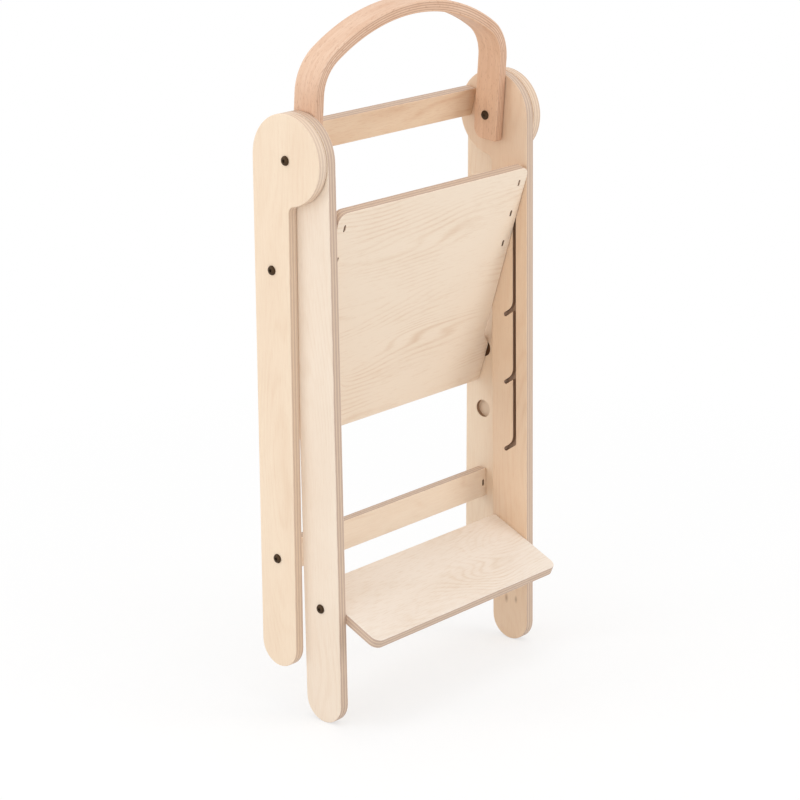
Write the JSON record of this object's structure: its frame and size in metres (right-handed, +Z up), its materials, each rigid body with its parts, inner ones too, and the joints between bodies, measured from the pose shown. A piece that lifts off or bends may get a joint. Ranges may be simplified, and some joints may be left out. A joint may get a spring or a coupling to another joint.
{
  "type": "folding learning tower",
  "caption": "Folding kitchen step tower in birch plywood, folded flat: round-headed legs on a shared pivot, notched grooves that hold a tilting platform, a low step and a bent wood arch handle.",
  "frame": {"origin": "middle of the folded tower's bounding box, on its underside, under the inner legs' feet", "axes": "+X to the tower's right as seen from the step side, +Y to its back, +Z up"},
  "size_m": [0.464, 0.1982, 1.0099],
  "materials": {
    "birch_plywood": "satin clear varnish",
    "bent_beech": "satin clear varnish",
    "black_steel": "satin black",
    "zinc_steel": "zinc plated",
    "nylon": "matt"
  },
  "bodies": {
    "front_frame": {"front_leg_right": "birch_plywood", "front_leg_left": "birch_plywood", "step_board": "birch_plywood", "step_bolt_right": "black_steel", "step_bolt_left": "black_steel", "step_nut_right": "zinc_steel", "step_nut_left": "zinc_steel", "step_dowel_right": "birch_plywood", "step_dowel_left": "birch_plywood", "top_bar": "birch_plywood", "bar_screw_1_right": "black_steel", "bar_screw_1_left": "black_steel", "bar_screw_2_right": "black_steel", "bar_screw_2_left": "black_steel", "pivot_bolt_right": "black_steel", "pivot_bolt_left": "black_steel", "pivot_sleeve_right": "black_steel", "pivot_sleeve_left": "black_steel", "leg_washer_right": "nylon", "leg_washer_left": "nylon", "arch_washer_right": "nylon", "arch_washer_left": "nylon"},
    "rear_frame": {"rear_leg_right": "birch_plywood", "rear_leg_left": "birch_plywood", "rear_upper_rail": "birch_plywood", "upper_rail_bolt_right": "black_steel", "upper_rail_bolt_left": "black_steel", "upper_rail_nut_right": "zinc_steel", "upper_rail_nut_left": "zinc_steel", "rear_lower_rail": "birch_plywood", "lower_rail_bolt_right": "black_steel", "lower_rail_bolt_left": "black_steel", "lower_rail_nut_right": "zinc_steel", "lower_rail_nut_left": "zinc_steel"},
    "platform": {"platform_board": "birch_plywood", "platform_pin_right": "black_steel", "platform_pin_left": "black_steel", "platform_nut_right": "zinc_steel", "platform_nut_left": "zinc_steel", "platform_peg_right": "black_steel", "platform_peg_left": "black_steel"},
    "arch": {"arch_handle": "bent_beech"}
  },
  "joints": [
    {"name": "frame_fold", "type": "hinge", "parent": "front_frame", "child": "rear_frame", "pos_m": [0, 0.02445, 0.817], "axis": [1, 0, 0], "range_deg": [0, 27.1]},
    {"name": "platform_tilt", "type": "hinge", "parent": "rear_frame", "child": "platform", "pos_m": [0, 0.05989, 0.45159], "axis": [1, 0, 0], "range_deg": [0, 68.21]},
    {"name": "arch_swing", "type": "hinge", "parent": "front_frame", "child": "arch", "pos_m": [0, 0.02445, 0.817], "axis": [1, 0, 0], "range_deg": [-21, 110]}
  ],
  "couplings": [
    {"joint": "platform_tilt", "follows": "frame_fold", "ratio": 2.5153}
  ]
}
